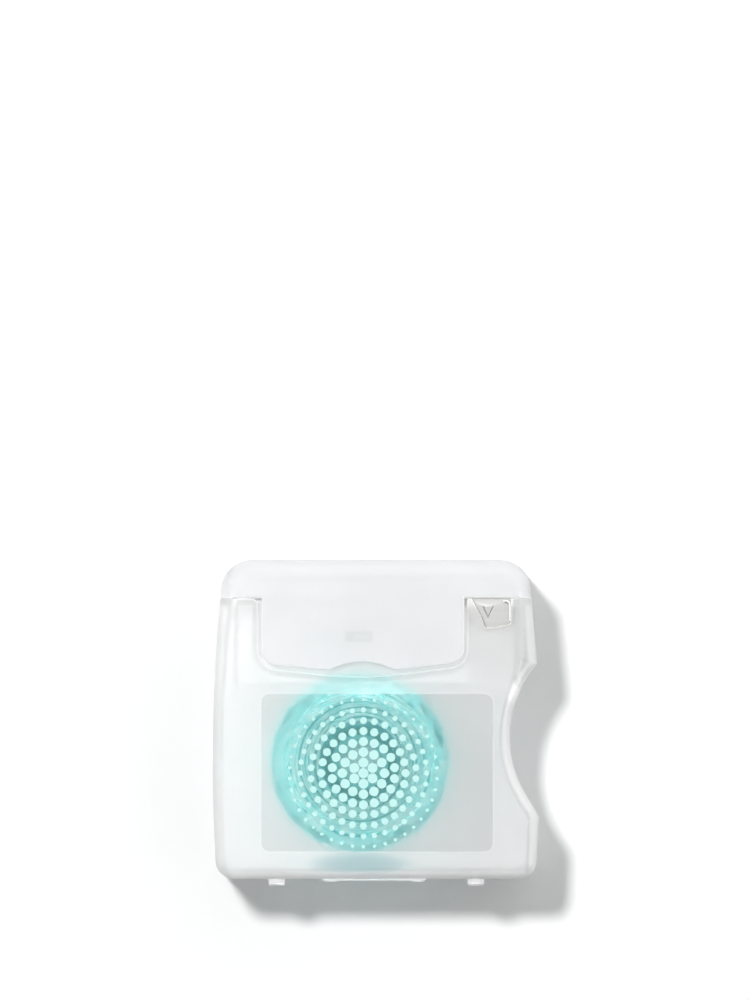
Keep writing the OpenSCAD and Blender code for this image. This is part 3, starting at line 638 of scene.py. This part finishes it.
# 1 where the front view looks into a wall end on: the bowed sides, the notch, the bottom and the deck
# under the seam
def wallMask(finish):
    across, up, _ = finish.spot()
    bowed = up - case["bowLevel"]
    depth = (bowed * bowed) * (-0.5 / case["bowRadius"]) + case["halfWidth"] - across.magnitude()
    fromX, fromY = across - notchCentre[0], up - notchCentre[1]
    depth = depth.below((fromX * fromX + fromY * fromY).root() - notch["radius"])
    return finish.fading(depth.below(up).below(case["seam"] - up), *ranges["wall"])


def fromSpool(finish):  # distance from the spool's axis
    across, up, _ = finish.spot()
    fromX, fromY = across + spool["left"], up - spool["level"]
    return (fromX * fromX + fromY * fromY).root()


# Painted shade and painted teal glow on the inner post and ring, for the winding's shade and the light it
# passes on
def hubMask(finish):  # 1 on the inner post and ring, which the winding shades and tints
    inner = finish.within(finish.spot()[2], *ranges["hubLevel"])
    return inner * finish.fading(fromSpool(finish), *ranges["hub"])


# Painted glow on the rounded edges and the seam, standing for the light inside the plastic that reaches them,
# as shares of its glow
def rimMask(finish, onLid):
    across, up, level = finish.spot()
    away, facing = across.magnitude(), finish.facing()
    outer = 0.0 if onLid else glows["outerRim"]
    inner = finish.fading(away, *ranges["inner"]) * finish.within(up, *ranges["innerUp"])
    rims = finish.within(facing, *ranges["round"]) * (inner * (glows["rim"] - outer) + outer)
    seam = finish.fading((up - (case["seam"] + case["seamGap"] / 2)).magnitude(), *ranges["seam"])
    seam = seam * finish.fading(facing, *ranges["flat"])
    share = rims.above(seam * (finish.within(across, *ranges["window"]) * glows["window"] + glows["seam"]))
    if onLid:
        return share.above(finish.fading(across, *ranges["lidLeft"]) * glows["lidLeft"])
    # painted glow on the recess's floor, seen in the gaps round the flap and under its arch
    recess = finish.within(level, *ranges["recessLevel"]) * finish.eased(up, *ranges["recessUp"])
    recess = recess * finish.fading(across, *ranges["recessRight"]) * finish.eased(facing, *ranges["flat"])
    gaps = finish.eased((across - archMiddle).magnitude(), *ranges["arch"]) * glows["gap"] + glows["arch"]
    # painted glow on the straps' necks and on the bar
    necks = finish.fading((away - case["strap"]).magnitude(), *ranges["neck"])
    necks = necks * finish.fading(up, *ranges["neckUp"]) * finish.eased(level, *ranges["neckLevel"])
    bar = finish.fading(away, *ranges["bar"]) * finish.fading(up, *ranges["barUp"])
    return share.above(recess * gaps).above(necks * glows["neck"]).above(bar * glows["bar"])


# Painted glow on the lamp side's wall
def sideMask(finish):  # the lamp side's wall, lit through
    across, up, _ = finish.spot()
    rise = finish.eased(up, *ranges["sideUp"]) * (1 - glows["sideFoot"]) + glows["sideFoot"]
    return finish.fading(across, *ranges["side"]) * rise


def patchMask(finish, at, half, soft):
    across, up, _ = finish.spot()
    away = ((across - at[0]).magnitude() - half[0]).above((up - at[1]).magnitude() - half[1])
    return finish.fading(away, -soft, soft)


def latchMask(finish):  # the latch bar's shade in the flap, with a paler patch at its right
    shade = patchMask(finish, latch["at"], latch["half"], latch["soft"])
    pale = patchMask(finish, latch["paleAt"], latch["paleHalf"], latch["paleSoft"])
    return shade * (1.0 - pale * latch["pale"]) * finish.eased(finish.spot()[2], *latch["level"])


# Painted shade below the film: the winding's teal shade and reflection in the bottom wall
def bellyShadeMask(finish):  # the winding's tint below the film
    across, up, _ = finish.spot()
    across, up = (across + spool["left"]) * bellyShade["wide"], (up - bellyShade["up"]) * bellyShade["high"]
    return finish.fading(across * across + up * up, 0.0, 1.0)


def frosted(name, near, far, rough, through):
    finish = Finish(name)
    onLid, onFront = name == "lidFrost", name == "caseFrost"
    across, up, _ = finish.spot()
    cloud = finish.noise(90.0, 3.0)
    colour = finish.mixed(finish.eased(cloud, 0.35, 0.65), near, far)
    share = rimMask(finish, onLid)
    if onFront:
        # painted glow along the film's border and on the lamp side's wall
        share = share.above(borderMask(finish) * glows["border"]).above(sideMask(finish) * glows["side"])
    glow = finish.mixed(share, black, white)
    # Painted shade: darker towards the right, away from the lamp, and towards the lid's top; the latch's
    # shade on the lid; on the case the hub's shade with its painted teal glow, and the winding's shade below
    # the film
    paintedShade = finish.eased(across, *ranges["paintedShade"])
    if onLid:
        top = finish.eased(up, *ranges["lidTopShade"]) * shadeTints["lidTopShade"]
        colour = finish.mixed(latchMask(finish) * shadeTints["latch"], colour, frost["shade"])
        colour = finish.mixed((paintedShade * shadeTints["lidShade"]).above(top), colour, frost["paintedShade"])
    else:
        hub = hubMask(finish)
        colour = finish.mixed(hub, colour, frost["hub"])
        colour = finish.mixed(paintedShade * shadeTints["paintedShade"], colour, frost["paintedShade"])
        colour = finish.mixed(bellyShadeMask(finish) * shadeTints["bellyShade"], colour, frost["bellyShade"])
        glow = finish.mixed(hub * glows["hub"], glow, frost["hub"])
    grain = finish.bumps(finish.noise(2600.0), 0.25, 0.03)
    base = {"Base Color": colour, "Emission Color": glow, "Emission Strength": frost["glow"],
            "IOR": frost["index"]}
    clouded = finish.eased(cloud, 0.2, 0.8) * 0.06 + (rough - 0.03)
    shader = finish.plastic(base | {"Roughness": clouded, "Transmission Weight": through, "Normal": grain})
    if onFront:
        dense = finish.plastic(base | {"Roughness": rough, "Transmission Weight": frost["wallThrough"],
                                       "Normal": grain})
        # the winding's round edge lies deeper, so that the wall blurs it more
        more = frost["edgeRough"] - frost["clearRough"]
        blur = finish.eased(fromSpool(finish), *ranges["blur"]) * more + frost["clearRough"]
        pressed = finish.plastic(base | {"Roughness": blur, "Transmission Weight": frost["clearThrough"]})
        shader = finish.shared(labelMask(finish), finish.shared(wallMask(finish), shader, dense), pressed)
    return finish.done(shader)


caseFrost = frosted("caseFrost", frost["near"], frost["far"], frost["rough"], frost["through"])
backFrost = frosted("backFrost", frost["near"], frost["far"], frost["rough"], frost["through"])
lidFrost = frosted("lidFrost", frost["lidNear"], frost["lidFar"], frost["lidRough"], frost["lidThrough"])
for piece in (caseBack, caseFront, *hingeStraps):
    painted(piece, caseFrost if piece is caseFront else backFrost)
painted(hingeBead, lidFrost)
painted(lidCap, lidFrost)

finish = Finish("beadWhite")
mist = finish.noise(300.0)
# the faint emission is a painted glow on the bead
beadWhite = finish.done(finish.plastic({
    "Base Color": finish.mixed(mist, frost["near"], frost["far"]), "Roughness": mist * 0.1 + 0.25,
    "Emission Color": (1, 1, 0.985, 1), "Emission Strength": 0.08}))
painted(windowBead, beadWhite)

# The clip behind the frosted wall gets a painted glow, standing for the light the wall passes on, and so do
# its rear leg and its cut edges; what the window leaves open, from under the clip's bend down, does not. The
# tooth leans to the lamp and gets a painted shade that holds its highlight down by as much.
steel = {"near": (0.33, 0.33, 0.325, 1), "far": (0.42, 0.42, 0.41, 1),
         "glow": (1, 1, 0.98, 1), "strength": 0.4, "edge": (0.5, 0.8), "behind": 0.7, "bend": 0.25,
         "soft": (-0.05, 0.05), "level": (17.2, 17.3)}
# the tooth's tone, mixed in by its share, is a painted shade
tooth = {"at": 19.7, "root": 47.9, "half": 0.85, "length": 1.8, "tone": (0.12, 0.125, 0.13, 1), "share": 0.55,
         "soft": (-0.05, 0.1), "rootSoft": (-0.2, 0.2)}
finish = Finish("bladeSteel")
across, up, level = finish.spot()
brushed = finish.noise(900.0, 3.0, stretch=(0.06, 1.0, 1.0))
inward, drop = across - window["left"], case["seam"] - up
slant = (window["lowLeft"] - window["left"]) / window["drop"]
rise = (window["drop"] - window["sideDrop"]) / (window["right"] - window["lowRight"])
lowest = window["drop"] - drop - (inward - (window["lowRight"] - window["left"])).above(0.0) * rise
inside = (inward - drop * slant).below(lowest).below(window["right"] - window["left"] - inward)
seen = finish.eased(inside.below(drop - steel["bend"]), *steel["soft"]) * finish.eased(level, *steel["level"])
lit = finish.fading(finish.facing(), *steel["edge"]).above((1.0 - seen) * steel["behind"])
beside, drop = (across - tooth["at"]).magnitude(), tooth["root"] - up
toothShade = finish.eased(tooth["half"] - beside - drop * (tooth["half"] / tooth["length"]), *tooth["soft"])
toothShade = toothShade * finish.eased(drop, *tooth["rootSoft"])
sheet = finish.mixed(brushed, steel["near"], steel["far"])
bladeSteel = finish.done(finish.plastic({
    "Base Color": finish.mixed(toothShade * tooth["share"], sheet, tooth["tone"]),
    "Emission Color": finish.mixed(lit, black, steel["glow"]), "Emission Strength": steel["strength"],
    "Metallic": 1.0, "Roughness": brushed * 0.2 + 0.36, "Normal": finish.bumps(brushed, 0.3, 0.01)}))
painted(blade, bladeSteel)

finish = Finish("bobbinPlastic")
tone = finish.noise(200.0)
# the emission is a painted teal glow on the core
bobbinPlastic = finish.done(finish.plastic({
    "Base Color": finish.mixed(tone, linear(104, 182, 180), linear(96, 172, 170)),
    "Roughness": tone * 0.1 + 0.4,
    "Emission Color": linear(96, 172, 170), "Emission Strength": 0.34,
    "Normal": finish.bumps(finish.noise(1500.0), 0.2, 0.02)}))
painted(bobbin, bobbinPlastic)

# The packed floss is painted darker than the strands, as shade between them
floss = {"strandDark": linear(142, 236, 235), "strandLight": linear(200, 252, 250),
         "packShadeDark": linear(108, 214, 216), "packShadeLight": linear(132, 228, 230),
         "deep": linear(56, 110, 110), "depth": (0.15, 1.1), "glow": 0.38, "fibres": 5, "pitch": 9.0}


def flossFinish(name, dark, light, onStrand):
    finish = Finish(name)
    if onStrand:
        along = finish.node("ShaderNodeAttribute", {"attribute_name": "alongStrand"}, out="Fac")
        around = finish.node("ShaderNodeAttribute", {"attribute_name": "roundStrand"}, out="Fac")
        fibres = (around * (2 * math.pi * floss["fibres"]) + along * floss["pitch"]).wave() * 0.5 + 0.5
    else:
        fibres = finish.noise(3000.0)
    patches = finish.eased(finish.noise(420.0, 3.0), 0.35, 0.65)
    colour = finish.mixed(patches * 0.6 + fibres * 0.4, dark, light)
    # the painted glow stands for the light that the outer fibres pass on to each other, darker deeper in
    depth = (spool["high"] - finish.spot()[2]).below(spool["radius"] - fromSpool(finish))
    glow = finish.mixed(finish.eased(depth, *floss["depth"]), colour, floss["deep"])
    return finish.done(finish.plastic({
        "Base Color": colour, "Roughness": 0.62, "Sheen Weight": 0.15, "Sheen Roughness": 0.4,
        "Emission Color": glow, "Emission Strength": floss["glow"],
        "Normal": finish.bumps(fibres, 0.5, 0.03)}))


strandFinish = flossFinish("flossStrand", floss["strandDark"], floss["strandLight"], True)
packFinish = flossFinish("flossPacked", floss["packShadeDark"], floss["packShadeLight"], False)
for piece in (flossTurns, flossCrossing, flossPack):
    painted(piece, packFinish if piece is flossPack else strandFinish)

finish = Finish("filmClear")
sheen = finish.noise(160.0)
filmClear = finish.done(finish.plastic({
    "Base Color": finish.mixed(sheen, (0.935, 0.932, 0.93, 1), (0.95, 0.948, 0.946, 1)),
    "Roughness": sheen * 0.05 + 0.05, "Transmission Weight": 1.0, "IOR": 1.12,
    # a faint painted glow along the film's border
    "Emission Color": finish.mixed(borderMask(finish), black, white), "Emission Strength": 0.06}))
painted(film, filmClear)

finish = Finish("printInk")
patch = finish.noise(700.0)
printInk = finish.done(finish.plastic({
    "Base Color": finish.mixed(patch, linear(184, 231, 227), linear(194, 238, 234)),
    "Roughness": patch * 0.1 + 0.35}))
painted(printed, printInk)

print("stage")
stage = {  # the floor in millimetres, the lamp and the camera's distance in metres
    "level": -0.15, "half": 3000.0, "floor": 0.9, "ground": 0.06, "under": 0.8,
    "sky": 0.36, "within": 0.9, "skyEast": 2.2, "skyNorth": 1.0,
    "lampPower": 20.0, "lampSize": 0.24, "lampAt": (-0.47, 0.57, 1.43),
    "distance": 2.5, "sensor": 36.0, "pixel": 0.1765,  # millimetres of the case to a pixel
    "middlePixel": (375.0, 500.0), "caseZero": (376.2, 877.5), "tall": 1000,
}


# How strongly a white background shows to the camera and in gloss, and through clear things
def seenWhite(finish, direct, through):
    path = finish.tree.nodes.new("ShaderNodeLightPath")
    seen = Wire(finish, path.outputs["Is Camera Ray"]).above(Wire(finish, path.outputs["Is Glossy Ray"]))
    return (seen * direct).above(Wire(finish, path.outputs["Is Transmission Ray"]) * through)


half = stage["half"]
corners = np.array([[-half, -half, 0], [half, -half, 0], [half, half, 0], [-half, half, 0]])
ground = newPiece("floor", (corners + [0, 0, stage["level"]]) * mm, [[0, 1, 2, 3]], None)
finish = Finish("floorWhite")
dull = finish.node("ShaderNodeBsdfDiffuse", {}, {"Color": (stage["floor"],) * 3 + (1,)})
seen = seenWhite(finish, stage["ground"], stage["under"])
glow = finish.node("ShaderNodeEmission", {}, {"Color": white, "Strength": seen})
painted(ground, finish.done(finish.node("ShaderNodeAddShader", {}, {0: dull, 1: glow})))

world = bpy.data.worlds.new("studio")
bpy.context.scene.world = world
world.use_nodes = True
finish = Finish("worldTree")
bpy.data.materials.remove(finish.material)
finish.tree = world.node_tree
finish.tree.nodes.clear()
east, north, _ = finish.apart(finish.coordinate("Generated"))
lean = east * stage["skyEast"] + north * stage["skyNorth"] + 1.0
strength = seenWhite(finish, 1.0, stage["within"]).above(lean * stage["sky"])
sky = finish.node("ShaderNodeBackground", {}, {"Color": white, "Strength": strength})
finish.node("ShaderNodeOutputWorld", {}, {"Surface": sky})

lampData = bpy.data.lights.new("key", "AREA")
lampData.shape, lampData.size, lampData.energy = "DISK", stage["lampSize"], stage["lampPower"]
lamp = bpy.data.objects.new("key", lampData)
lamp.location = stage["lampAt"]
lamp.rotation_euler = (-lamp.location).to_track_quat("-Z", "Y").to_euler()
bpy.context.scene.collection.objects.link(lamp)

cameraData = bpy.data.cameras.new("camera")
camera = bpy.data.objects.new("camera", cameraData)
bpy.context.scene.collection.objects.link(camera)
pixel, zero, look = stage["pixel"], stage["caseZero"], stage["middlePixel"]
aim = inFrame([(look[0] - zero[0]) * pixel, (zero[1] - look[1]) * pixel, 0])
camera.location = (aim[0], aim[1], stage["distance"] + frontFace * mm)
cameraData.sensor_width = stage["sensor"]
cameraData.lens = stage["sensor"] * (stage["distance"] + frontFace / 2 * mm) / (stage["tall"] * pixel * mm)
cameraData.clip_start, cameraData.clip_end = 0.05, 20.0
bpy.context.scene.camera = camera
bpy.context.scene.view_settings.view_transform = "Standard"
